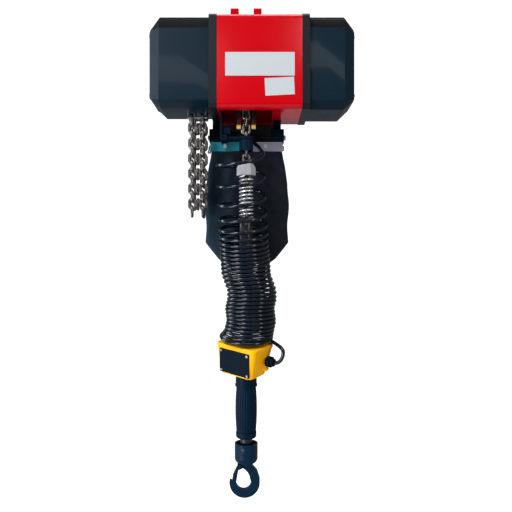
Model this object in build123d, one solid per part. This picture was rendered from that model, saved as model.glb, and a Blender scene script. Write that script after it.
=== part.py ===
"""Chain hoist with a hand control grip, as an assembly of separate parts.

Lengths are in millimetres. The origin is the centre of the suspension bore,
+Z is up and -Y is the front. The load chain hangs on the Z axis.
"""
import os
from math import acos, cos, pi, radians, sin, sqrt, tan

from build123d import *

os.makedirs("parts", exist_ok=True)

# Driving dimensions: body
cover_left = -54.9
cover_right = 106.6
cover_width = 140.0
cover_top = -12.5
cover_bottom = -191.5
cover_edge_radius = 10.0
wall = 3.0
trim_left = -70.0
trim_right = 120.7
trim_proud = 1.0
motor_end = -185.3
electrics_end = 207.9
cap_slope = 20.7
bottom_opening_half = 51.0

# Driving dimensions: suspension
bore_radius = 5.0
lug_inner = 14.5
lug_outer = 30.0
lug_half_depth = 12.0
lug_top = 9.5

# Driving dimensions: chain and drive
chain_wire = 5.0
chain_pitch = 15.0
link_width = 17.0
pockets = 6
gear_module = 1.25
pinion_teeth = 12
gear_teeth = 54
mesh_backlash = 0.16

# Driving dimensions: handle
cap_top = -290.5
spring_top = -313.0
seat_top = -395.5
stem_radius = 13.0
coil_bottom = -626.0
box_rim = -636.5
box_floor = -695.5
box_turn = -38.0
box_pitch = 10.0
grip_top = -722.0
grip_bottom = -811.0
cup_rim = -833.0
cup_bottom = -873.0
cord_diameter = 7.2
coil_outer_radius = 49.0

# Worked out from the driving dimensions
roll_radius = pockets * chain_pitch / pi
link_radius = roll_radius * cos(radians(90.0 / pockets)) + 0.2
axis_y = roll_radius
axis_z = -102.0
slack_y = 2.0 * roll_radius
cover_front = axis_y - cover_width / 2
cover_back = axis_y + cover_width / 2
gear_distance = gear_module * (pinion_teeth + gear_teeth) / 2
lay_z = axis_z + gear_distance
sweep_radius = link_radius + link_width / 2 + 0.9
link_half = (chain_pitch + 0.3 + chain_wire) / 2


def block(x0, x1, y0, y1, z0, z1):
    size = Box(abs(x1 - x0), abs(y1 - y0), abs(z1 - z0))
    return Pos((x0 + x1) / 2, (y0 + y1) / 2, (z0 + z1) / 2) * size


def rod_x(radius, x0, x1, y, z):
    return Pos((x0 + x1) / 2, y, z) * Rot(0, 90, 0) * Cylinder(radius, abs(x1 - x0))


def rod_y(radius, y0, y1, x, z):
    return Pos(x, (y0 + y1) / 2, z) * Rot(90, 0, 0) * Cylinder(radius, abs(y1 - y0))


def rod_z(radius, z0, z1, x=0.0, y=0.0):
    return Pos(x, y, (z0 + z1) / 2) * Cylinder(radius, abs(z1 - z0))


def tube_x(outer, inner, x0, x1, y, z):
    return rod_x(outer, x0, x1, y, z) - rod_x(inner, x0 - 1, x1 + 1, y, z)


def tube_z(outer, inner, z0, z1, x=0.0, y=0.0):
    return rod_z(outer, z0, z1, x, y) - rod_z(inner, z0 - 1, z1 + 1, x, y)


def bolt_x(x_seat, length, y, z, radius=3.0, direction=1.0):
    """Hexagon head standing off a seat along X, with its shank behind it."""
    head = Pos(x_seat + direction * 2, y, z) * Rot(0, 90, 0) * extrude(
        RegularPolygon(radius * 1.75, 6), 2, both=True
    )
    shank = rod_x(radius, x_seat - direction * length, x_seat, y, z)
    return head + shank


def plate_xz(points, y0, y1):
    """Flat outline given in X and Z, made solid from y0 to y1."""
    outline = make_face(Polyline([(x, 0, z) for x, z in points], close=True))
    solid = extrude(outline, amount=y1 - y0, dir=(0, 1, 0))
    return Pos(0, y0, 0) * solid


def plate_yz(points, x0, x1):
    """Flat outline given in Y and Z, made solid from x0 to x1."""
    outline = make_face(Polyline([(0, y, z) for y, z in points], close=True))
    solid = extrude(outline, amount=x1 - x0, dir=(1, 0, 0))
    return Pos(x0, 0, 0) * solid


def save(shape, name):
    """Write one node; a list is kept as separate solids in one file."""
    if isinstance(shape, (list, tuple)):
        solids = [one for item in shape for one in item.solids()]
        shape = Compound(children=solids)
    shape.label = name
    count = len(shape.solids())
    export_step(shape, f"parts/{name}.step")
    print(f"{name}: {count} solids, {shape.volume / 1000:.1f} cm3")


# Red centre cover: a rounded sleeve, open at both ends and underneath
def sleeve(x0, x1, grow, radius, top, bottom):
    middle = (top + bottom) / 2
    width = cover_width + 2 * grow
    height = top - bottom + 2 * grow
    face = Plane(origin=(x0, axis_y, middle), x_dir=(0, 1, 0), z_dir=(1, 0, 0))
    return extrude(face * RectangleRounded(width, height, radius), amount=x1 - x0)


centre_cover = sleeve(cover_left, cover_right, 0, cover_edge_radius, cover_top, cover_bottom)
centre_cover -= sleeve(
    cover_left - 1, cover_right + 1, -wall, cover_edge_radius - wall, cover_top, cover_bottom
)
centre_cover -= block(
    -bottom_opening_half, bottom_opening_half, -24, 84, cover_bottom - 5, cover_bottom + 8
)
for side in (-1, 1):
    centre_cover -= block(
        side * (lug_inner - 0.3), side * (lug_outer + 0.3), -12.3, 12.3, cover_top - 5, cover_top + 5
    )
save(centre_cover, "centre_cover")

# Black trim plates between the red cover and the end covers
left_trim = sleeve(trim_left, cover_left, trim_proud, cover_edge_radius, cover_top, cover_bottom)
left_trim -= rod_x(62, trim_left - 1, cover_left + 1, axis_y, axis_z)
save(left_trim, "left_trim")
right_trim = sleeve(cover_right, trim_right, trim_proud, cover_edge_radius, cover_top, cover_bottom)
right_trim -= rod_x(14, cover_right - 1, trim_right + 1, axis_y, -150)
save(right_trim, "right_trim")


def end_cover_outline(inset, top, lower_edge, bottom, bottom_half):
    """Half outline of an end cover, mirrored about the body's middle."""
    right = [
        (52 - inset * 0.8, top - inset),
        (65 - inset, top - 22 - inset * 0.3),
        (65 - inset, lower_edge + inset * 0.4),
        (bottom_half - inset * 0.6, bottom + inset),
    ]
    left = [(-y, z) for y, z in reversed(right)]
    return [(axis_y + y, z) for y, z in right + left]


def end_cover_solid(x_open, x_end, inset, top, lower_edge, bottom, bottom_half):
    """Straight part from the open side, then a sloping end."""
    outward = 1 if x_end > x_open else -1
    x_turn = x_end - outward * cap_slope
    parts = []
    full = end_cover_outline(inset, top, lower_edge, bottom, bottom_half)
    small = end_cover_outline(inset + cap_slope - 2, top, lower_edge, bottom, bottom_half)
    x_last = x_end - outward * inset
    low = min(x_open, x_turn)
    high = max(x_open, x_turn)
    parts.append(plate_yz(full, low, high))
    lower = make_face(Polyline([(x_turn, y, z) for y, z in full], close=True))
    upper = make_face(Polyline([(x_last, y, z) for y, z in small], close=True))
    parts.append(loft([lower, upper], ruled=True))
    return parts[0] + parts[1]


def end_cover(x_open, x_end, top, lower_edge, bottom, bottom_half):
    outward = 1 if x_end > x_open else -1
    outer = end_cover_solid(x_open, x_end, 0, top, lower_edge, bottom, bottom_half)
    inner = end_cover_solid(
        x_open - outward, x_end, wall, top, lower_edge, bottom, bottom_half
    )
    return outer - inner


motor_cover = end_cover(trim_left, motor_end, -14, -175, -185, 43)
electrics_cover = end_cover(trim_right, electrics_end, -14, -176.3, -189, 46.5)

# Cast housing: wheel chamber open underneath, closed gear chamber beside it
house_front = -20.0
house_back = 78.0
house_top = -20.0
house_floor = -150.0
housing = block(cover_left, cover_right, house_front, house_back, house_floor, house_top)
housing -= block(-46, 22, house_front + 6, house_back - 6, house_floor - 1, house_top - 6)
housing -= block(28, 98, house_front + 6, house_back - 6, house_floor + 6, house_top - 3.5)
housing -= rod_x(19, cover_left - 1, -40, axis_y, axis_z)
housing -= rod_x(19, 20, 30, axis_y, axis_z)
housing -= rod_x(14, 97, cover_right + 1, axis_y, axis_z)
housing -= rod_x(11, 20, 30, axis_y, lay_z)
housing -= rod_x(11, 97, cover_right + 1, axis_y, lay_z)
save(housing, "gearbox_housing")

bearings = [
    tube_x(13.95, 5.55, -156, -150, axis_y, axis_z),
    tube_x(18.95, 13.05, -54, -47, axis_y, axis_z),
    tube_x(18.95, 13.05, 22.5, 27.5, axis_y, axis_z),
    tube_x(13.95, 5.55, 98.5, 105.5, axis_y, axis_z),
    tube_x(10.95, 5.05, 22.5, 27.5, axis_y, lay_z),
    tube_x(10.95, 5.05, 98.5, 105.5, axis_y, lay_z),
]
save(bearings, "shaft_bearings")

# Suspension lugs stand on one base bolted to the housing
lugs = block(-36, 36, -18, 40, house_top, cover_top - wall)
for side in (-1, 1):
    ear = block(side * lug_inner, side * lug_outer, -lug_half_depth, lug_half_depth, -17, lug_top)
    ear = fillet(ear.edges().filter_by(Axis.X).group_by(Axis.Z)[-1], 3)
    lugs += ear
lugs -= rod_x(bore_radius, -40, 40, 0, 0)
save(lugs, "suspension_lugs")

# Motor on the wheel's axis: frame, stator, end shield and spring brake
motor_frame = tube_x(61, 55.02, -150, cover_left, axis_y, axis_z)
save(motor_frame, "motor_frame")
stator = tube_x(55, 31, -140, -84, axis_y, axis_z)
for turn in range(24):
    slot = Rot(turn * 15, 0, 0) * block(-141, -83, -1.6, 1.6, 30, 46)
    stator -= Pos(0, axis_y, axis_z) * slot
save(stator, "stator")
end_shield = tube_x(61, 14, -156, -150, axis_y, axis_z)
save(end_shield, "end_shield")

brake_coil = tube_x(46, 8, -178, -164, axis_y, axis_z)
armature = tube_x(46, 8, -163.2, -160.4, axis_y, axis_z)
for turn in (30, 150, 270):
    pin_y = axis_y + 42 * cos(radians(turn))
    pin_z = axis_z + 42 * sin(radians(turn))
    brake_coil += rod_x(2.5, -164, -156, pin_y, pin_z)
    armature -= rod_x(2.9, -165, -159, pin_y, pin_z)
save(brake_coil, "brake_coil")
save(armature, "brake_armature")

save(tube_x(38, 5.5, -160.2, -157, axis_y, axis_z), "brake_disc")
rotor = tube_x(30.4, 5.5, -140, -84, axis_y, axis_z)
rotor += tube_x(27, 22, -144, -140, axis_y, axis_z)
rotor += tube_x(27, 22, -84, -80, axis_y, axis_z)
save(rotor, "rotor_core")


def involute(angle):
    return tan(angle) - angle


def gear_face(teeth, addendum, dedendum, first_angle):
    """Involute teeth of 20 degrees with a little backlash, about the X axis."""
    pitch = gear_module * teeth / 2
    base = pitch * cos(radians(20))
    tip = pitch + addendum
    root = pitch - dedendum
    start = max(base, root) + 0.02
    half_pitch_angle = (pi * gear_module / 2 - mesh_backlash) / (2 * pitch)
    heights = [start + (tip - start) * step / 4 for step in range(5)]
    flank = []
    for height in heights:
        lean = involute(radians(20)) - involute(acos(base / height))
        flank.append((height, half_pitch_angle + lean))
    flank = [(root, flank[0][1])] + flank
    points = []
    for tooth in range(teeth):
        middle = radians(first_angle) + 2 * pi * tooth / teeth
        for height, half in flank:
            points.append((height * cos(middle - half), height * sin(middle - half)))
        for height, half in reversed(flank):
            points.append((height * cos(middle + half), height * sin(middle + half)))
    return make_face(Polyline([(0, y, z) for y, z in points], close=True))


def gear(teeth, addendum, dedendum, bore, x0, x1, z, first_angle):
    face = gear_face(teeth, addendum, dedendum, first_angle)
    solid = Pos(x0, axis_y, z) * extrude(face, amount=x1 - x0, dir=(1, 0, 0))
    if bore:
        solid -= rod_x(bore, x0 - 1, x1 + 1, axis_y, z)
    return solid


gear_addendum = 0.75 * gear_module
pinion_addendum = gear_module
gear_depth = pinion_addendum + 0.3
pinion_depth = gear_addendum + 0.3
gap_angle = 180.0 / gear_teeth

motor_shaft = rod_x(5.5, -161, 66, axis_y, axis_z) + rod_x(5.5, 78, 106, axis_y, axis_z)
motor_shaft += gear(pinion_teeth, pinion_addendum, pinion_depth, 0, 66, 78, axis_z, 90)
save(motor_shaft, "motor_shaft")
layshaft = rod_x(5, 21, 31, axis_y, lay_z) + rod_x(5, 43, 106, axis_y, lay_z)
layshaft += gear(pinion_teeth, pinion_addendum, pinion_depth, 0, 31, 43, lay_z, -90)
save(layshaft, "layshaft")
lay_gear = gear(gear_teeth, gear_addendum, gear_depth, 5, 66, 78, lay_z, gap_angle - 90)
save(lay_gear, "layshaft_gear")
output_gear = gear(gear_teeth, gear_addendum, gear_depth, 13, 31, 43, axis_z, gap_angle + 90)
save(output_gear, "output_gear")

# Pocketed load wheel on its hollow shaft
wheel = rod_x(31.5, -13, 13, axis_y, axis_z)
wheel += tube_x(34, 20, -13, -9.2, axis_y, axis_z) + tube_x(34, 20, 9.2, 13, axis_y, axis_z)
wheel -= tube_x(36, link_radius - link_width / 2 - 0.5, -3.1, 3.1, axis_y, axis_z)
floor = link_radius - chain_wire / 2 - 0.3
for pocket in range(pockets):
    space = block(-9.1, 9.1, -link_half - 2.9, link_half + 2.9, floor, floor + 20)
    turn = (pocket + 0.5) * 360 / pockets
    wheel -= Pos(0, axis_y, axis_z) * Rot(turn, 0, 0) * space
    for lean in (-14, 14):
        relief = block(-7, 7, -9, 9, floor, floor + 20)
        wheel -= Pos(0, axis_y, axis_z) * Rot(turn + lean, 0, 0) * relief
wheel += rod_x(13, -56, 46, axis_y, axis_z)
wheel -= rod_x(8, -57, 47, axis_y, axis_z)
save(wheel, "load_wheel")


# Chain link, lying in X and Z, and the same turned a quarter about Z
link_path = Rot(90, 0, 0) * Rot(0, 0, 90) * SlotCenterToCenter(
    2 * link_half - (link_width - chain_wire), link_width - chain_wire
)
link_wire = link_path.face().outer_wire()
link_start = Plane(origin=link_wire @ 0, z_dir=link_wire % 0)
flat_link = sweep(link_start * Circle(chain_wire / 2), path=link_wire)
upright_link = Rot(0, 0, 90) * flat_link


def strand(x, y, first_z, count, first_upright=False):
    links = []
    for index in range(count):
        upright = (index % 2 == 1) != first_upright
        link = upright_link if upright else flat_link
        links.append(Pos(x, y, first_z - chain_pitch * index) * link)
    return links


riding = []
for step in range(-3, 4):
    link = flat_link if step % 2 else upright_link
    riding.append(
        Pos(0, axis_y, axis_z) * Rot(step * 30, 0, 0) * Pos(0, 0, link_radius) * Rot(90, 0, 0) * link
    )
save(riding, "wheel_chain")
load_links = 19
save(strand(0, 0, axis_z - 2 * chain_pitch, load_links), "load_chain")
save(strand(0, slack_y, axis_z - 3.2 * chain_pitch, 7), "slack_chain")

# Chain guide closing the wheel chamber, with two brass lips at the load chain
guide = block(-46, 22, house_front + 6, house_back - 6, house_floor, house_floor + 8)
guide += rod_z(13, -186, house_floor + 4) + rod_z(13, -186, house_floor + 4, 0, slack_y)
guide -= rod_z(9.2, -190, -130)
guide -= rod_z(9.2, -190, -130, 0, slack_y)
save(guide, "chain_guide")
lips = [block(side * 10.5, side * 18.5, -4, 4, -222, -186) for side in (-1, 1)]
save(lips, "guide_lips")

# Limit lever under the body: bracket, switch, tipping lever and rubber bumper
lever_x = -41.0
lever_z = -240.5
bracket = block(-50, -46, -14, 30, -246, house_floor)
bracket += block(-46, -36, 10, 14, -247, -235.5) + block(-46, -36, -14, -10, -247, -235.5)
bracket -= rod_y(2.05, -15, 15, lever_x, lever_z)
save(bracket, "lever_bracket")
save(block(-46, -30, -9, 30, -234, -221), "limit_switch")
lever = rod_y(4, -9.5, 9.5, lever_x, lever_z) + block(lever_x, -12, -8, 8, -243, -238)
lever += rod_z(16, -243, -238)
lever -= rod_z(12, -244, -237)
lever -= rod_y(2, -10, 10, lever_x, lever_z)
save([lever, rod_y(2, -14, 14, lever_x, lever_z)], "limit_lever")
save(tube_z(13.5, 10.5, -264.6, -243), "lever_bumper")
gland_y = 22.0
gland_z = -228.0
save(rod_x(7, -30, -24, gland_y, gland_z) + rod_x(5.5, -24, -20, gland_y, gland_z), "cable_gland")

# Eye bolt behind the chain
eye = rod_z(3.2, -202, house_floor, -2, 75)
eye += Pos(-2, 75, -207.5) * Rot(90, 0, 0) * Torus(7.5, 2.5)
save(eye, "eye_bolt")

# Frame of the chain bag on two brackets under the cover
frame_top = -238.0
frame_base = -257.0
frame_half = 72.6
frame_front = 43.0
frame_back = 112.0
frame = block(-frame_half, frame_half, frame_front, frame_back, frame_base, frame_top)
frame -= block(
    3 - frame_half, frame_half - 3, frame_front + 3, frame_back - 3, frame_base - 1, frame_top + 1
)
frame += block(-66, 65, frame_back - 3, frame_back, frame_base, cover_bottom + 9)
posts = []
brackets = []
bolts = []
for side in (-1, 1):
    post_top = cover_bottom if side > 0 else cover_bottom - trim_proud
    post = rod_z(8, -212, post_top, side * 62, 57)
    post += block(side * 51.6, side * 72.6, 45, 69, frame_top, -215)
    post += rod_z(8, -215, -212, side * 62, 57)
    post -= rod_x(3.05, side * 60, side * 80, 57, -227)
    posts.append(post)
    hood = block(side * 48.6, side * 75.6, 42, 72, frame_top, -212)
    hood -= block(side * 51.6, side * 72.6, 41, 73, frame_top - 1, -215)
    hood -= rod_z(8, -216, -211, side * 62, 57)
    hood -= rod_x(3.05, side * 72, side * 80, 57, -227)
    brackets.append(hood)
    bolts.append(bolt_x(side * 75.6, 15, 57, -227, 3, side))
    bolts.append(bolt_x(side * frame_half, 6, 57, -248.5, 3, side))
    frame -= rod_x(3.05, side * (frame_half - 5), side * (frame_half + 1), 57, -248.5)
save(posts + brackets, "bag_brackets")
for screw_x in (-42.8, 38.2):
    frame -= rod_y(2.05, frame_front - 1, frame_front + 4, screw_x, -247)
    head = rod_y(4, frame_front - 2, frame_front, screw_x, -247)
    bolts.append(head + rod_y(2, frame_front, frame_front + 5, screw_x, -247))
save(frame, "bag_frame")
save(bolts, "bag_bolts")


def bag_solid(inset, top):
    """Front outline and side outline crossed into one closed form."""
    half_top = frame_half - inset
    half_low = 86 - inset
    low = -482 + inset
    front = [
        (-half_top, top), (half_top, top), (half_low, -320), (half_low, -438),
        (56 - inset, low), (inset - 56, low), (-half_low, -438), (-half_low, -320),
    ]
    side = [
        (frame_front + inset, top), (frame_front + inset, frame_base - 1),
        (50.4 + inset, -268), (52 + inset, -300), (52 + inset, -470),
        (60 + inset, low), (102, low), (frame_back - inset, -468), (frame_back - inset, top),
    ]
    return plate_xz(front, 30, 130) & plate_yz(side, -100, 100)


bag = bag_solid(0, frame_base) - bag_solid(2.5, frame_base + 5)
save(bag, "chain_bag")

# Triangular ring on the frame's left side
ring_points = [(-76.5, -240), (-80, -256), (-75.3, -256)]
ring = []
for index in range(3):
    start = ring_points[index]
    stop = ring_points[(index + 1) % 3]
    run = Line((start[0], 66, start[1]), (stop[0], 66, stop[1]))
    ring.append(sweep(Plane(origin=run @ 0, z_dir=run % 0) * Circle(1.5), path=run))
    ring.append(Pos(start[0], 66, start[1]) * Sphere(1.5))
ring_solid = ring[0]
for piece in ring[1:]:
    ring_solid = ring_solid + piece
ring_solid += rod_x(1.5, -77, -frame_half, 66, -243)

# Loose chain hung in strands from three staples under the motor cover
staples = []
bundle = []
top_bar_z = -196.0
hanging = (
    (14, -116, -77, 0, ((-107, 13), (-86, 13))),
    (25.5, -104, -89, chain_pitch, ((-96.5, 11),)),
    (37, -116, -77, 0, ((-107, 12), (-86, 13))),
)
for bar_y, first_x, last_x, lower, drops in hanging:
    bar_z = top_bar_z - lower
    bar = rod_x(2.2, first_x, last_x, bar_y, bar_z)
    for leg_x in (first_x + 2.2, last_x - 2.2):
        bar += rod_z(2.2, bar_z, -185, leg_x, bar_y)
    staples.append(bar)
    for drop_x, count in drops:
        first_z = bar_z + 2.4 + chain_wire / 2 - link_half
        bundle += strand(drop_x, bar_y, first_z, count, True)
save(staples + [ring_solid], "bundle_hangers")
save(bundle, "chain_bundle")

# Electrics on the right trim plate
contactor = block(trim_right, 165, 5, 52, -95, -55) + block(trim_right, 150, 8, 49, -102, -48)
transformer = block(trim_right, 158, -20, 24, -148, -108) + block(130, 150, -26, 30, -144, -112)
save([contactor, transformer], "power_modules")
board = block(trim_right, 122.7, 32, 88, -150, -105)
board += block(122.7, 135, 36, 50, -144, -128) + block(122.7, 131, 55, 84, -122, -110)
save(board, "circuit_board")

# Bare plates on the front of the red cover
name_plate = block(-38.6, 91.9, cover_front - 0.6, cover_front, -131.1, -86.8)
data_plate = Pos(63.8, cover_front - 0.3, -151) * Rot(0, -3, 0) * Box(55.4, 0.6, 33)
save([name_plate, data_plate], "label_plates")

# Long screws holding each end cover to its trim plate
long_screws = []
for screw_y in (axis_y - 34, axis_y + 34):
    for screw_z in (-44, -158):
        for outer, inner, way in ((motor_end, trim_left, -1), (electrics_end, trim_right, 1)):
            long_screws.append(
                rod_x(4, outer, outer + way * 2.5, screw_y, screw_z)
                + rod_x(2, inner, outer, screw_y, screw_z)
            )
        motor_cover -= rod_x(2.05, motor_end - 1, motor_end + 8, screw_y, screw_z)
        electrics_cover -= rod_x(2.05, electrics_end - 8, electrics_end + 1, screw_y, screw_z)
save(long_screws, "cover_screws")
save(motor_cover, "motor_cover")
save(electrics_cover, "electrics_cover")

# Handle: stem with the spring seat, control box, grip rod
stem_end = -865.0
rod_radius = 12.0
core = rod_z(16, seat_top - 8.5, seat_top) + rod_z(stem_radius, box_floor + 5, seat_top - 8.5)
core += rod_z(rod_radius, -832, box_floor + 5) + rod_z(8, stem_end, -832) + rod_z(12, stem_end, -857)
core -= rod_z(9.3, -418, seat_top + 1)
core -= rod_y(2.25, -20, 20, 0, -407.3)
save(core, "handle_core")
save(rod_y(2.2, -12.8, 12.8, 0, -407.3), "chain_pin")


def box_shell(grow, top, bottom, bottom_grow=0.0):
    """Tapering box in its own frame; the front wall stays upright."""
    upper = Pos(0, 0, top) * RectangleRounded(96 + 2 * grow, 63 + 2 * grow, 10 + grow)
    lower = Pos(0, -6.5, bottom) * RectangleRounded(78 + 2 * grow, 50 + 2 * grow, 10 + grow)
    return loft([upper.face(), lower.face()], ruled=True)


box_middle = (box_rim + box_floor) / 2
box_place = Pos(-2.5, 0, box_middle) * Rot(box_pitch, 0, 0) * Pos(0, 0, -box_middle)
box_place = box_place * Rot(0, 0, box_turn)
gland_local_z = -667.0
box = box_shell(0, box_rim - 6, box_floor)
rim = extrude(Pos(0, 0, box_rim - 6) * RectangleRounded(98, 65, 11), amount=6)
rim = fillet(rim.edges().group_by(Axis.Z)[-1], 2.5)
box += rim
box += rod_z(10, -686, gland_local_z + 11, 38, 10)
box -= box_shell(-3, box_rim - 5, box_floor + 4)
for plate_x in (-32, 32):
    for plate_z in (-688.5, -649.5):
        box -= rod_y(1.25, -33, -28, plate_x, plate_z)
box -= rod_x(5, 30, 52, 10, gland_local_z)
box = box_place * box
box -= rod_z(stem_radius + 0.05, box_floor - 12, box_rim + 12)
save(box, "control_box")
box_plate = block(-36.5, 36.5, -33.5, -31.5, -692.5, -645.5)
plate_screws = []
for plate_x in (-32, 32):
    for plate_z in (-688.5, -649.5):
        box_plate -= rod_y(1.25, -34, -31, plate_x, plate_z)
        head = rod_y(2.4, -34.5, -33.5, plate_x, plate_z)
        plate_screws.append(box_place * (head + rod_y(1.2, -33.5, -28.6, plate_x, plate_z)))
save(box_place * box_plate, "box_plate")
save(plate_screws, "plate_screws")
board = block(-28, 28, -28.5, -26.9, -686, -655) + block(-12, 12, -26.9, -17, -682, -666)
save(box_place * board, "control_board")
box_gland = rod_x(10.5, 48, 57, 10, gland_local_z) + rod_x(7.5, 57, 63, 10, gland_local_z)
save(box_place * box_gland, "box_gland")

collar = tube_z(20.5, rod_radius + 0.05, grip_top, box_floor + 5)
collar += tube_z(21.6, 20.5, grip_top, grip_top + 4)
collar -= box_place * block(-60, 60, -60, 60, box_floor, box_floor + 20)
collar -= rod_z(19.7, grip_top - 1, grip_top + 10)
save(collar, "upper_collar")

# Cap nut on the buffer spring
cap = extrude(Pos(0, 0, spring_top) * RegularPolygon(18.4, 6), amount=cap_top - spring_top)
cap &= Pos(0, 0, (cap_top + spring_top) / 2) * Cone(27, 13, cap_top - spring_top + 8)
cap -= rod_z(9.4, spring_top - 1, cap_top + 1)
save(cap, "cap_nut")
spring_wire = 1.6
spring_pitch = 7.4
spring_low = seat_top + spring_wire
spring_high = spring_top - spring_wire
coil_path = Pos(0, 0, spring_low) * Helix(spring_pitch, spring_high - spring_low, 12.6)
spring_start = Plane(origin=coil_path @ 0, z_dir=coil_path % 0)
save(sweep(spring_start * Circle(spring_wire), path=coil_path, is_frenet=True), "buffer_spring")

# Grip sleeve and lower collar slide together on the rod
grip_middle = (grip_top + grip_bottom) / 2
grip_profile = make_face(
    [
        Polyline([(12.3, 0, grip_bottom), (12.3, 0, grip_top), (18.9, 0, grip_top)]),
        ThreePointArc((18.9, 0, grip_top), (21, 0, grip_middle), (18.9, 0, grip_bottom)),
        Line((18.9, 0, grip_bottom), (12.3, 0, grip_bottom)),
    ]
)
grip = revolve(grip_profile, axis=Axis.Z)
save(grip, "grip_sleeve")
lower_collar = fillet(rod_z(20, grip_bottom - 12, grip_bottom).edges().group_by(Axis.Z)[0], 5)
lower_collar -= rod_z(12.3, grip_bottom - 13, grip_bottom + 1)
save(lower_collar, "lower_collar")

# Hook cup turning on a washer carried by the nut at the rod's end
cup = fillet(rod_z(22.5, cup_bottom, cup_rim).edges().group_by(Axis.Z)[0], 12)
cup -= rod_z(19.5, -846, cup_rim + 1)
cup -= rod_z(8.4, -853, -845)
cup -= rod_z(15, cup_bottom + 6, -852)
cup_screw_y = -22.3
cup -= rod_y(2.55, cup_screw_y - 2, -17, -6.2, -841)
save([cup, rod_y(2.5, cup_screw_y, -18.9, -6.2, -841)], "hook_cup")
save(tube_z(13, 8.4, -856.8, -852), "thrust_washer")

# Hook: ring with an open left side, straight right arm and flat head
hook = rod_y(29.5, -6.5, 6.5, -3, -909) - rod_y(14.5, -8, 8, -5.2, -908.5)
hook -= plate_xz([(-45, -902), (-17, -909), (-5, -896), (-5, -870), (-45, -870)], -8, 8)
hook -= block(-6, 40, -8, 8, -900, -870)
arm = [(9, cup_bottom), (21, -886), (26.5, -902), (26.5, -909), (9.3, -909), (8, -899),
       (3, -889), (-5, -881.5), (-17, -881.5), (-17, cup_bottom)]
hook += plate_xz(arm, -6.5, 6.5)
latch_x = -12.0
latch_z = -877.5
hook -= rod_y(1.95, -8, 8, latch_x, latch_z)
save(hook, "hook")
cheek = [(-9, -874.5), (-14.5, -874.5), (-20, -884), (-27, -899), (-23, -906.5), (-19, -906.5),
         (-15, -884), (-8, -881.5)]
latch = plate_xz(cheek, -8.4, -6.9) + plate_xz(cheek, 6.9, 8.4)
latch += plate_xz([(-20, -886.5), (-26, -899), (-23, -905.5), (-19.5, -905.5), (-22.5, -899), (-17.5, -887)],
                  -8, 8)
latch -= rod_y(1.9, -10, 10, latch_x, latch_z)
latch_pin = rod_y(1.85, -9.2, 9.2, latch_x, latch_z)
latch_pin += rod_y(3.2, -9.2, -8.4, latch_x, latch_z) + rod_y(3.2, 8.4, 9.2, latch_x, latch_z)
save([latch, latch_pin], "hook_latch")


def cord(points, diameter, name):
    """Round cord through straight runs joined by arcs; prints its bends."""
    runs = [Vector(*stop) - Vector(*start) for start, stop in zip(points, points[1:])]
    radii = []
    for before, after in zip(runs, runs[1:]):
        turn = radians(before.get_angle(after))
        radii.append(0.45 * min(before.length, after.length) / tan(turn / 2))
    path = FilletPolyline(*points, radius=radii)
    start = Plane(origin=path @ 0, z_dir=path % 0)
    print(name, "length", round(path.length, 1), "bend radii", [round(r, 1) for r in radii])
    return sweep(start * Circle(diameter / 2), path=path)


# Curly cable as one tube of its outer size, with its leads
coil_line = Spline(
    (-10, 0, -271), (-6, 0, -400), (3, 0, -500), (8, 0, coil_bottom), tangents=[(0, 0, -1), (0, 0, -1)]
)
coil_start = Plane(origin=coil_line @ 0, z_dir=coil_line % 0)
coil_outer = sweep(coil_start * Circle(coil_outer_radius), path=coil_line)
coil_inner = sweep(coil_start * Circle(coil_outer_radius - 8), path=coil_line)
save(coil_outer - coil_inner, "curly_cable")
print("curly cable centreline", round(coil_line.length, 1))
lead = cord(
    [(-20, gland_y, gland_z), (10, gland_y, gland_z), (36, 20, -246), (35, -5, -267)],
    cord_diameter, "cable_lead",
)
save(lead, "cable_lead")
gland_end = box_place * Pos(63, 10, gland_local_z)
outward = Vector(cos(radians(box_turn)), sin(radians(box_turn)), 0)
up = Vector(0, 0, 1)
tail_end = Vector(*gland_end.position)
slant = 14.0
run = coil_bottom + 3 - tail_end.Z - 2 * slant
gland_far = box_place * Pos(77, 10, gland_local_z)
p4 = Vector(*gland_far.position)
p3 = p4 + outward * slant + up * slant
p2 = p3 + up * run
p1 = p2 - outward * slant + up * slant
p0 = p1 - outward * 32
tail_points = [(p.X, p.Y, p.Z) for p in (p0, p1, p2, p3, p4, tail_end)]
save(cord(tail_points, cord_diameter, "cable_tail"), "cable_tail")
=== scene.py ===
import bpy
import numpy as np
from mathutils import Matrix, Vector


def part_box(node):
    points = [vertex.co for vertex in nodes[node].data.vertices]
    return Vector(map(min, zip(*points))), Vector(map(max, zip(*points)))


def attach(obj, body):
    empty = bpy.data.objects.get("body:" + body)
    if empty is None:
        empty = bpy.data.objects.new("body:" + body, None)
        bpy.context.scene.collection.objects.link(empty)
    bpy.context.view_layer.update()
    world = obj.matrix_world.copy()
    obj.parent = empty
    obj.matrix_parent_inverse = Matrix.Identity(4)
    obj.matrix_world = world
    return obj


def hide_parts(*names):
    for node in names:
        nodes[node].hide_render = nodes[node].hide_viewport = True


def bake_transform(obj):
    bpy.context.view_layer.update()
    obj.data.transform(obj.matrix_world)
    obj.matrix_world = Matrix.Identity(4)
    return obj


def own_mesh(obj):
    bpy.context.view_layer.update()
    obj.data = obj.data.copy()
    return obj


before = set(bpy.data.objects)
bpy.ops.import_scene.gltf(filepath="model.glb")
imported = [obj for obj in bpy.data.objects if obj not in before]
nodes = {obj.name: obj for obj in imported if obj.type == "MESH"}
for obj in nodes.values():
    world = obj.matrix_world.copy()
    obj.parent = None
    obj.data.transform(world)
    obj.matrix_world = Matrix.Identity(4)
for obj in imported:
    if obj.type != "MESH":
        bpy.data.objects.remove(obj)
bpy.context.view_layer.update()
print("frame loaded")

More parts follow.
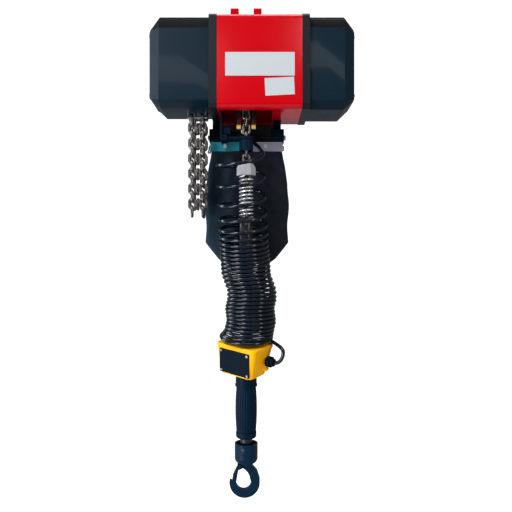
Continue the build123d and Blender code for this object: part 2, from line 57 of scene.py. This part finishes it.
# camera: level, a little right of the chain, half way down the object
view = {"place": (0.023, -1.121, -0.481), "lens": 40.43, "shiftX": -0.0039, "shiftY": 0.0117}
cameraData = bpy.data.cameras.new("camera")
cameraData.lens = view["lens"]
cameraData.sensor_width = 36
cameraData.shift_x = view["shiftX"]
cameraData.shift_y = view["shiftY"]
cameraData.clip_end = 50
camera = bpy.data.objects.new("camera", cameraData)
camera.location = view["place"]
camera.rotation_euler = (np.pi / 2, 0, 0)
bpy.context.scene.collection.objects.link(camera)
bpy.context.scene.camera = camera


# shader building
class Wire:
    # a shader value that can be used in ordinary sums

    def __init__(self, tree, socket):
        self.tree = tree
        self.socket = socket

    def math(self, operation, other=None, swap=False):
        node = self.tree.nodes.new("ShaderNodeMath")
        node.operation = operation
        mine, theirs = (1, 0) if swap else (0, 1)
        self.tree.links.new(self.socket, node.inputs[mine])
        if isinstance(other, Wire):
            self.tree.links.new(other.socket, node.inputs[theirs])
        elif other is not None:
            node.inputs[theirs].default_value = other
        return Wire(self.tree, node.outputs[0])

    def __add__(self, other):
        return self.math("ADD", other)

    def __sub__(self, other):
        return self.math("SUBTRACT", other)

    def __rsub__(self, other):
        return self.math("SUBTRACT", other, True)

    def __mul__(self, other):
        return self.math("MULTIPLY", other)

    __rmul__ = __mul__

    def __pow__(self, other):
        return self.math("POWER", other)

    def sine(self):
        return self.math("SINE")

    def ramp(self, low, high):
        # from 0 at low to 1 at high, smoothly
        node = self.tree.nodes.new("ShaderNodeMapRange")
        node.interpolation_type = "SMOOTHSTEP"
        self.tree.links.new(self.socket, node.inputs["Value"])
        node.inputs["From Min"].default_value = low
        node.inputs["From Max"].default_value = high
        return Wire(self.tree, node.outputs["Result"])


class Paint:
    # one procedural material around a Principled shader

    def __init__(self, name, color, roughness, metallic=0.0, coat=0.0, specular=0.5):
        self.material = bpy.data.materials.new(name)
        self.material.use_nodes = True
        self.tree = self.material.node_tree
        self.shader = self.tree.nodes["Principled BSDF"]
        self.shader.inputs["Base Color"].default_value = (*color, 1)
        self.shader.inputs["Roughness"].default_value = roughness
        self.shader.inputs["Metallic"].default_value = metallic
        self.shader.inputs["Coat Weight"].default_value = coat
        self.shader.inputs["Coat Roughness"].default_value = 0.06
        self.shader.inputs["Specular IOR Level"].default_value = specular
        self.color = color

    def node(self, kind, output, inputs=None, **settings):
        made = self.tree.nodes.new(kind)
        for key, value in settings.items():
            setattr(made, key, value)
        for key, value in (inputs or {}).items():
            if isinstance(value, Wire):
                self.tree.links.new(value.socket, made.inputs[key])
            else:
                made.inputs[key].default_value = value
        return Wire(self.tree, made.outputs[output])

    def place(self):
        return self.node("ShaderNodeTexCoord", "Object")

    def axes(self):
        split = self.node("ShaderNodeSeparateXYZ", "X", {"Vector": self.place()})
        outputs = split.socket.node.outputs
        return [Wire(self.tree, outputs[axis]) for axis in "XYZ"]

    def noise(self, scale, detail=4.0, stretch=(1, 1, 1)):
        spot = self.node(
            "ShaderNodeMapping", "Vector", {"Vector": self.place(), "Scale": Vector(stretch)}
        )
        return self.node("ShaderNodeTexNoise", "Fac", {"Vector": spot, "Scale": scale, "Detail": detail})

    def tint(self, amount, other):
        # base colour goes toward the other colour by amount
        mixed = self.mixColors(amount, (*self.color, 1), (*other, 1))
        self.tree.links.new(mixed.socket, self.shader.inputs["Base Color"])

    def mixColors(self, amount, first, second):
        made = self.tree.nodes.new("ShaderNodeMix")
        made.data_type = "RGBA"
        self.tree.links.new(amount.socket, made.inputs[0])
        for index, value in ((6, first), (7, second)):
            if isinstance(value, Wire):
                self.tree.links.new(value.socket, made.inputs[index])
            else:
                made.inputs[index].default_value = value
        return Wire(self.tree, made.outputs[2])

    def set(self, name, wire):
        self.tree.links.new(wire.socket, self.shader.inputs[name])

    def bump(self, height, depth):
        made = self.node("ShaderNodeBump", "Normal", {"Height": height, "Distance": depth})
        self.tree.links.new(made.socket, self.shader.inputs["Normal"])


def paintOn(paint, *names):
    for name in names:
        piece = nodes[name] if name in nodes else bpy.data.objects[name]
        piece.data.materials.clear()
        piece.data.materials.append(paint.material)


# materials
seam = {"top": -0.1642, "low": -0.1723, "edge": 0.0004}  # raised band along the end covers
chamferShadeLine = {"low": -0.0392, "high": -0.0384}  # above this line the end covers are painted darker: painted shade standing in for a top chamfer
# centre and ring radii of the painted highlight round the hook cup screw
screwHighlight = {"x": -0.0062, "z": -0.841, "inner": (0.0013, 0.0018), "outer": (0.0023, 0.0028)}

red = Paint("redGloss", (0.44, 0.0003, 0.004), 0.2, coat=0.3, specular=0.12)
red.bump(red.noise(260, 2), 0.00003)
red.set("Roughness", red.noise(30) * 0.08 + 0.16)

black = Paint("coverBlack", (0.0002, 0.0095, 0.0195), 0.34, coat=0.03, specular=0.12)
z = black.axes()[2]
band = z.ramp(seam["top"], seam["top"] - seam["edge"]) - z.ramp(seam["low"], seam["low"] - seam["edge"])
chamferShadeMask = z.ramp(chamferShadeLine["low"], chamferShadeLine["high"])
# painted shade: above the chamfer line the covers are tinted near black and made rougher, standing in for the
# top chamfer in shade
black.tint(chamferShadeMask, (0.0004, 0.001, 0.002))
black.bump(black.noise(900, 2) * 0.08 + band - chamferShadeMask * 0.8, 0.0006)
black.set("Roughness", black.noise(60) * 0.14 + 0.32 + chamferShadeMask * 0.3)

trim = Paint("trimBlack", (0.003, 0.005, 0.009), 0.42, specular=0.2)
trim.bump(trim.noise(700, 2), 0.00004)

cast = Paint("castMetal", (0.42, 0.42, 0.43), 0.5, metallic=0.9)
cast.bump(cast.noise(500, 3), 0.0001)

yellow = Paint("yellowPlastic", (1.0, 0.45, 0.0005), 0.45, specular=0.15)
yellow.tint(yellow.noise(45, 6).ramp(0.55, 0.85) * 0.25, (0.72, 0.34, 0.004))
yellow.bump(yellow.noise(1200, 2), 0.00003)

plastic = Paint("blackPlastic", (0.0006, 0.006, 0.013), 0.5, specular=0.05)
plastic.bump(plastic.noise(1100, 2), 0.00004)

rubber = Paint("gripRubber", (0.0003, 0.009, 0.020), 0.5, specular=0.06)
rubber.bump(rubber.noise(1500, 2), 0.00005)

hookPaint = Paint("hookPaint", (0.0004, 0.015, 0.034), 0.42, specular=0.1)
hookPaint.bump(hookPaint.noise(300, 4), 0.00012)
hx, hy, hz = hookPaint.axes()
# painted highlight: a lighter ring round the cup screw's socket, on the screw head's rim
fromScrew = ((hx - screwHighlight["x"]) ** 2 + (hz - screwHighlight["z"]) ** 2) ** 0.5
hookPaint.tint(fromScrew.ramp(*screwHighlight["inner"]) - fromScrew.ramp(*screwHighlight["outer"]), (0.10, 0.12, 0.15))
hookPaint.set("Roughness", hookPaint.noise(80) * 0.2 + 0.26)

chain = Paint("chainSteel", (0.17, 0.16, 0.15), 0.34, metallic=1.0)
chain.set("Roughness", chain.noise(220) * 0.25 + 0.22)

bright = Paint("brightSteel", (0.74, 0.78, 0.80), 0.16, metallic=0.6)
bright.set("Roughness", bright.noise(150) * 0.14 + 0.1)

steel = Paint("plainSteel", (0.36, 0.38, 0.39), 0.32, metallic=1.0)
steel.set("Roughness", steel.noise(90) * 0.2 + 0.22)

blued = Paint("frameSteel", (0.03, 0.36, 0.42), 0.26, metallic=0.5)
bx, by, bz = blued.axes()
# painted shade: the upright plate at the back of the frame, above this height, is painted near black, matte
# and not metallic, filling the shaded gap between body and bag
shadeBoardMask = bz.ramp(-0.2378, -0.2374)
sideways = blued.mixColors(bx.ramp(-0.02, 0.03), (0.03, 0.36, 0.42, 1), (0.36, 0.36, 0.42, 1))
blued.set("Base Color", blued.mixColors(shadeBoardMask, sideways, (0.004, 0.005, 0.008, 1)))
blued.set("Metallic", (1 - shadeBoardMask) * 0.5)
blued.set("Roughness", blued.noise(40) * 0.12 + 0.16 + shadeBoardMask * 0.3)

stem = Paint("stemSteel", (0.010, 0.013, 0.018), 0.32, specular=0.4)

brass = Paint("brass", (0.75, 0.46, 0.10), 0.32, metallic=0.6)
# painted shade: the lips are tinted near black above this height, where they run up under the hoist body
brass.tint(brass.axes()[2].ramp(-0.2165, -0.2135), (0.02, 0.012, 0.008))

label = Paint("blankLabel", (0.42, 0.46, 0.47), 0.4, specular=0.1)

board = Paint("circuitBoard", (0.02, 0.16, 0.06), 0.4)

core = Paint("coreSteel", (0.12, 0.12, 0.13), 0.45, metallic=0.8)

sheath = Paint("cableSheath", (0.0005, 0.004, 0.009), 0.2, coat=0.12, specular=0.25)
sheath.set("Roughness", sheath.noise(160) * 0.1 + 0.15)

cloth = Paint("bagCloth", (0.001, 0.017, 0.028), 0.8, specular=0.25)
cx, cy, cz = cloth.axes()
weave = (cx * 3600).sine() * (cz * 3600).sine()
# painted sheen: the teal base colour on the left of the bag is a painted sheen; towards the right it goes to
# the bag's darker navy
cloth.tint(cx.ramp(-0.085, 0.0), (0.0012, 0.004, 0.010))
cloth.bump(weave * 0.3 + cloth.noise(60, 3) * 1.5, 0.0003)

paintOn(red, "centre_cover", "suspension_lugs")
paintOn(black, "motor_cover", "electrics_cover")
paintOn(trim, "left_trim", "right_trim")
paintOn(cast, "gearbox_housing", "motor_frame", "end_shield")
paintOn(yellow, "control_box")
paintOn(plastic, "lever_bracket", "limit_switch", "cable_gland", "box_gland", "box_plate")
paintOn(plastic, "power_modules", "bag_brackets", "limit_lever")
paintOn(rubber, "upper_collar", "lower_collar", "lever_bumper")
paintOn(hookPaint, "hook_cup", "hook", "hook_latch")
paintOn(chain, "load_chain", "slack_chain", "chain_bundle", "wheel_chain")
paintOn(bright, "cap_nut", "eye_bolt", "bag_bolts", "cover_screws", "shaft_bearings")
paintOn(steel, "chain_guide", "bundle_hangers", "chain_pin", "plate_screws")
paintOn(steel, "thrust_washer", "load_wheel", "output_gear", "layshaft", "layshaft_gear", "motor_shaft")
paintOn(steel, "brake_coil", "brake_armature", "brake_disc")
paintOn(stem, "handle_core")
paintOn(blued, "bag_frame")
paintOn(brass, "guide_lips")
paintOn(label, "label_plates")
paintOn(board, "circuit_board", "control_board")
paintOn(core, "stator", "rotor_core")
print("materials made")


# softened edges on the shown parts
def soften(name, width, segments):
    piece = nodes[name]
    weld = piece.modifiers.new("weld", "WELD")
    weld.merge_threshold = 0.00002
    bevel = piece.modifiers.new("edges", "BEVEL")
    bevel.width = width
    bevel.segments = segments
    bevel.limit_method = "ANGLE"
    bevel.angle_limit = np.radians(32)
    bevel.harden_normals = True
    for face in piece.data.polygons:
        face.use_smooth = True
    weighted = piece.modifiers.new("normals", "WEIGHTED_NORMAL")
    weighted.keep_sharp = True


# piece: width of its edge, and how many steps round it
edgeSizes = {
    "motor_cover": (0.0035, 3),
    "electrics_cover": (0.0035, 3),
    "left_trim": (0.0009, 3),
    "right_trim": (0.0009, 3),
    "suspension_lugs": (0.0012, 3),
    "hook": (0.0034, 4),
    "hook_latch": (0.0006, 2),
    "box_plate": (0.0006, 2),
    "bag_frame": (0.0004, 2),
    "bag_brackets": (0.0006, 2),
    "limit_lever": (0.0006, 2),
    "limit_switch": (0.001, 2),
    "lever_bracket": (0.0006, 2),
    "label_plates": (0.00015, 1),
}
for edgedPiece, (edgeWidth, edgeSteps) in edgeSizes.items():
    soften(edgedPiece, edgeWidth, edgeSteps)
print("edges softened")


def addMesh(name, points, faces, body, smooth=True):
    # a finished mesh at the origin that rides on a body, or on none yet
    data = bpy.data.meshes.new(name)
    data.from_pydata([tuple(p) for p in points], [], [tuple(f) for f in faces])
    data.update()
    if smooth:
        data.polygons.foreach_set("use_smooth", [True] * len(data.polygons))
    piece = bpy.data.objects.new(name, data)
    bpy.context.scene.collection.objects.link(piece)
    if body:
        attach(piece, body)
    return piece


def gridFaces(rows, columns, closed=True, caps=False):
    # quads over a grid whose columns may wrap round
    faces = []
    last = columns if closed else columns - 1
    for row in range(rows - 1):
        for column in range(last):
            following = (column + 1) % columns
            faces.append(
                (row * columns + column, row * columns + following,
                 (row + 1) * columns + following, (row + 1) * columns + column)
            )
    if caps:
        faces.append(tuple(reversed(range(columns))))
        faces.append(tuple((rows - 1) * columns + column for column in range(columns)))
    return faces


# curly cable: lead, helix and tail as one cord
coil = {
    "radius": 0.0452, "cord": 0.0072, "sides": 12, "points": 1320,
    "turns": 30.75, "start": -0.25, "top": -0.296,
}
coilLean = {"turn": (0, 5, 12, 19, 25, 30), "degrees": (17, 17, 9, 1, 6.5, 10.6)}  # the front hangs lower
coilSway = {
    "height": (-0.64, -0.625, -0.6, -0.573, -0.555, -0.538, -0.51, -0.45, -0.4, -0.33, -0.288),
    "across": (-0.002, 0.005, 0.010, 0.007, 0.011, 0.011, 0, -0.0044, -0.0066, -0.010, -0.012),
}


def coilPitch(turn):
    # closed pitch plus a bell of extra pitch at the stretched top
    return 0.00732 + 0.036 * np.exp(-((turn / 3.6) ** 2))


def hermite(first, firstWay, last, lastWay, count):
    s = np.linspace(0, 1, count)[:, None]
    return (
        (2 * s**3 - 3 * s**2 + 1) * first + (s**3 - 2 * s**2 + s) * firstWay
        + (3 * s**2 - 2 * s**3) * last + (s**3 - s**2) * lastWay
    )


def coilCentre(turn):
    # height of the front arc by adding up the pitch, leaned so that the front hangs lower
    fine = np.linspace(0, coil["turns"] + 1, 4000)
    gap = fine[1] - fine[0]
    fall = np.concatenate([[0], np.cumsum(coilPitch(fine[:-1] + 0.5 * gap) * gap)])
    front = coil["top"] - np.where(turn >= 0, np.interp(turn, fine, fall), turn * coilPitch(0))
    front = front - np.interp(turn, (14, 30, 30.75), (0, 0.0045, 0.0020))
    lean = np.radians(np.interp(turn, coilLean["turn"], coilLean["degrees"]))
    radius = coil["radius"] * np.interp(turn, (28.6, 30.0, 30.75), (1, 1.08, 1.06))
    drift = np.interp(front, coilSway["height"], coilSway["across"])
    angle = 2 * np.pi * turn
    px = drift - radius * np.sin(angle)
    py = -radius * np.cos(angle)
    pz = front + np.tan(lean) * (py + radius) - px * np.interp(turn, (20, 30), (0, 0.05))
    return np.stack([px, py, pz], -1)


turns = np.linspace(coil["start"], coil["turns"], coil["points"])
helix = coilCentre(turns)
topWay = (helix[1] - helix[0]) / np.linalg.norm(helix[1] - helix[0])
endWay = (helix[-1] - helix[-2]) / np.linalg.norm(helix[-1] - helix[-2])
glandExit = np.array([-0.020, 0.022, -0.228])
lead = hermite(glandExit, np.array([0.075, 0.012, 0.0]), helix[0], topWay * 0.07, 34)
box = {
    "turn": np.radians(-38), "pitch": np.radians(10),
    "middle": (-0.0025, 0, -0.666), "gland": (0.063, 0.010, -0.001),
}


def turned(way):
    # from the box's own axes to the shared ones
    x = way[0] * np.cos(box["turn"]) - way[1] * np.sin(box["turn"])
    y = way[0] * np.sin(box["turn"]) + way[1] * np.cos(box["turn"])
    across, along = np.cos(box["pitch"]), np.sin(box["pitch"])
    return np.array([x, y * across - way[2] * along, y * along + way[2] * across])


outward = turned((1, 0, 0))
boxGland = np.array(box["middle"]) + turned(box["gland"])
middle = boxGland + outward * 0.0215 + np.array([0, 0, 0.024])
down = np.array([0, 0, -1.0])
tailTop = hermite(helix[-1], endWay * 0.06, middle, down * 0.036, 30)
tailLow = hermite(middle, down * 0.036, boxGland, -outward * 0.036, 26)
route = np.concatenate([lead[:-1], helix, tailTop[1:], tailLow[1:]])


def tube(points, radius, sides):
    # rings carried along the line without twist
    along = np.gradient(points, axis=0)
    along /= np.linalg.norm(along, axis=1)[:, None]
    normal = np.cross(along[0], (0, 0, 1.0))
    normal /= np.linalg.norm(normal)
    rings = []
    for index in range(len(points)):
        normal = normal - along[index] * (normal @ along[index])
        normal /= np.linalg.norm(normal)
        other = np.cross(along[index], normal)
        angles = (2 * np.pi * np.arange(sides) / sides)[:, None]
        rings.append(points[index] + radius * (np.cos(angles) * normal + np.sin(angles) * other))
    return np.concatenate(rings)


cableFaces = gridFaces(len(route), coil["sides"], True, True)
cable = addMesh("curlyCable", tube(route, coil["cord"] / 2, coil["sides"]), cableFaces, None)
paintOn(sheath, "curlyCable")
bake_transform(cable)
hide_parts("curly_cable", "cable_lead", "cable_tail")
print("cable made")

# chain bag: a sagging cloth sack under its frame
bag = {"rows": 96, "columns": 200, "top": -0.2572, "low": -0.4825, "corner": 5.5, "wall": 0.0022}
bagOutline = {  # heights, then the distance from the chain's line at each
    "half": ((-0.4825, -0.474, -0.44, -0.32, -0.257), (0.046, 0.058, 0.0845, 0.0845, 0.0720)),
    "front": ((-0.4825, -0.474, -0.30, -0.268, -0.257), (0.068, 0.0585, 0.0535, 0.0515, 0.0440)),
    "back": ((-0.4825, -0.47, -0.40, -0.257), (0.090, 0.105, 0.1125, 0.1115)),
}


def bagMesh():
    # rounded box rings down the sack, pushed in and out by folds that fade from the frame
    v = np.linspace(0, 1, bag["rows"])[:, None]
    u = np.linspace(0, 2 * np.pi, bag["columns"], endpoint=False)[None, :]
    height = bag["top"] + (bag["low"] - bag["top"]) * v
    half = np.interp(height, *bagOutline["half"])
    front = np.interp(height, *bagOutline["front"])
    back = np.interp(height, *bagOutline["back"])
    power = 2 / bag["corner"]
    side = np.sign(np.cos(u)) * np.abs(np.cos(u)) ** power
    depth = np.sign(np.sin(u)) * np.abs(np.sin(u)) ** power
    px = half * side
    py = (front + back) / 2 + (back - front) / 2 * depth
    pz = height + 0 * u
    folds = 0.0016 * np.sin(px * 210 + 3 * np.sin(v * 5)) * np.exp(-v * 3.2)
    sag = 0.0022 * np.sin(pz * 75 + px * 22 + 1.3) * v
    crease = 0.0016 * np.sin(px * 60 - pz * 95) * np.sin(np.pi * v)
    push = (folds + sag + crease) * np.clip(np.abs(depth) ** 3, 0, 1) * np.sign(depth)
    py = py + push - 0.0012 * np.sign(-depth)
    px = px + 0.0018 * np.sin(pz * 70 + 2) * np.abs(side) ** 4 * np.sign(side) * np.sin(np.pi * v)
    points = np.stack([px, py, pz], -1).reshape(-1, 3)
    faces = gridFaces(bag["rows"], bag["columns"])
    faces.append(tuple((bag["rows"] - 1) * bag["columns"] + c for c in range(bag["columns"])))
    return points, faces


sack = addMesh("chainSack", *bagMesh(), None)
thick = sack.modifiers.new("cloth", "SOLIDIFY")
thick.thickness = bag["wall"]
thick.offset = 0
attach(sack, "hoist_body")
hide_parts("chain_bag")
paintOn(cloth, "chainSack")

# grip sleeve: barrel with shallow upright ribs
grip = {
    "top": -0.722, "low": -0.811, "end": 0.0189, "middle": 0.021, "bore": 0.0123, "ribs": 26, "depth": 0.0006,
    "rows": 60, "columns": 312,
}


def gripMesh():
    # outer radius is a barrel less a rib wave that fades at both ends; the bore closes it
    rows, columns = grip["rows"], grip["columns"]
    v = np.linspace(0, 1, rows)[:, None]
    u = np.linspace(0, 2 * np.pi, columns, endpoint=False)[None, :]
    barrel = grip["end"] + (grip["middle"] - grip["end"]) * (1 - (2 * v - 1) ** 2)
    wave = np.clip(1.6 * np.cos(u * grip["ribs"]), -1, 1) * 0.5 - 0.5
    fade = np.clip(np.minimum(v, 1 - v) / 0.10, 0, 1)
    fade = fade * fade * (3 - 2 * fade)
    radius = barrel + grip["depth"] * wave * fade
    height = grip["low"] + (grip["top"] - grip["low"]) * v + 0 * u
    outer = np.stack([radius * np.cos(u), radius * np.sin(u), height], -1)
    bore = grip["bore"]
    inner = np.stack([bore * np.cos(u) + 0 * v, bore * np.sin(u) + 0 * v, height], -1)[[rows - 1, 0]]
    rings = np.concatenate([inner[1:], outer, inner[:1]])
    faces = gridFaces(len(rings), columns)
    last = (len(rings) - 1) * columns
    for column in range(columns):
        following = (column + 1) % columns
        faces.append((last + column, last + following, following, column))
    return rings.reshape(-1, 3), faces


sleeve = addMesh("gripSleeve", *gripMesh(), "control_grip")
edges = sleeve.modifiers.new("edges", "BEVEL")
edges.width = 0.0008
edges.segments = 2
edges.angle_limit = np.radians(60)
edges.harden_normals = True
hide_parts("grip_sleeve")
paintOn(rubber, "gripSleeve")

# buffer spring: a wire along a helix
buffer = {"radius": 0.0126, "wire": 0.0016, "pitch": 0.0074, "steps": 40, "sides": 12, "travel": 0.035}
springLow, springHigh = [corner[2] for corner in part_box("buffer_spring")]


def springPath():
    # once round the rod for each pitch that the wire rises
    rounds = (springHigh - springLow - 2 * buffer["wire"]) / buffer["pitch"]
    angle = np.linspace(0, 2 * np.pi * rounds, int(buffer["steps"] * rounds))
    height = springLow + buffer["wire"] + buffer["pitch"] * angle / (2 * np.pi)
    return np.stack([buffer["radius"] * np.cos(angle), buffer["radius"] * np.sin(angle), height], -1)


wirePath = springPath()
wireFaces = gridFaces(len(wirePath), buffer["sides"], True, True)
spring = addMesh("bufferSpring", tube(wirePath, buffer["wire"], buffer["sides"]), wireFaces, "handle")
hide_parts("buffer_spring")
paintOn(bright, "bufferSpring")
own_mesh(spring)
print("bag, grip and spring made")


# stage: pale floor sweeping up behind, soft lights
def stageMesh(name, points, faces, paint):
    piece = addMesh(name, points, faces, None)
    piece.data.materials.append(paint.material)


floor = {"front": -6.0, "level": -1.12, "bend": 2.2, "radius": 1.4, "top": 5.0, "side": 7.0}
sweepAngles = np.linspace(0, np.pi / 2, 24)
profile = [(floor["front"], floor["level"])]
profile += [
    (floor["bend"] + floor["radius"] * np.sin(a), floor["level"] + floor["radius"] * (1 - np.cos(a)))
    for a in sweepAngles
]
profile += [(floor["bend"] + floor["radius"], floor["top"])]
floorPoints = [(side, py, pz) for py, pz in profile for side in (-floor["side"], floor["side"])]
floorFaces = [(2 * i, 2 * i + 1, 2 * i + 3, 2 * i + 2) for i in range(len(profile) - 1)]
white = Paint("backdrop", (0.45, 0.45, 0.46), 0.8)
white.shader.inputs["Emission Color"].default_value = (1, 1, 1, 1)
white.set("Emission Strength", white.node("ShaderNodeLightPath", "Is Camera Ray") * 0.9)
stageMesh("floor", floorPoints, floorFaces, white)
dark = Paint("card", (0.010, 0.018, 0.035), 0.8)
card = {"half": 2.6, "y": -2.7, "low": -1.1, "high": 1.6}  # dark board behind the camera, seen in the gloss
cardCorners = ((-1, "low"), (1, "low"), (1, "high"), (-1, "high"))
cardPoints = [(way * card["half"], card["y"], card[edge]) for way, edge in cardCorners]
stageMesh("card", cardPoints, [(0, 1, 2, 3)], dark)


def softLight(name, place, target, size, power, color):
    data = bpy.data.lights.new(name, "AREA")
    data.shape = "RECTANGLE"
    data.size, data.size_y = size
    data.energy = power
    data.color = color
    lamp = bpy.data.objects.new(name, data)
    lamp.location = place
    way = Vector(target) - Vector(place)
    lamp.rotation_euler = way.to_track_quat("-Z", "Y").to_euler()
    bpy.context.scene.collection.objects.link(lamp)


# name: place, what it points at, size, watts, colour
lamps = {
    "key": ((-1.3, -1.7, 1.2), (0, 0, -0.4), (0.6, 0.6), 54, (1, 1, 1)),
    "fill": ((1.7, -1.5, 0.2), (0, 0, -0.5), (0.35, 1.6), 18, (1, 1, 1)),
    "top": ((0.1, 0.1, 1.8), (0, 0, 0), (1.6, 0.8), 26, (1, 1, 1)),
    "left": ((-1.5, 0.5, -0.1), (0, 0, -0.4), (0.4, 1.6), 16, (0.85, 0.93, 1.0)),
    "glintLeft": ((-0.31, -1.5, 0.43), (-0.12, 0, -0.09), (0.26, 0.16), 1.6, (1, 1, 1)),
    "glintRight": ((0.33, -1.5, 0.53), (0.15, 0, -0.05), (0.20, 0.16), 1.6, (1, 1, 1)),
    "low": ((-1.1, -0.9, -1.0), (-0.1, 0, -0.15), (0.8, 0.5), 24, (0.90, 0.88, 1.0)),
}
for lampName, settings in lamps.items():
    softLight(lampName, *settings)

room = {"color": (0.92, 0.93, 0.96, 1), "strength": 0.32}
world = bpy.data.worlds.new("studio")
world.use_nodes = True
background = world.node_tree.nodes["Background"]
background.inputs["Color"].default_value = room["color"]
background.inputs["Strength"].default_value = room["strength"]
bpy.context.scene.world = world
bpy.context.scene.view_settings.view_transform = "Standard"
print("stage and lights set")
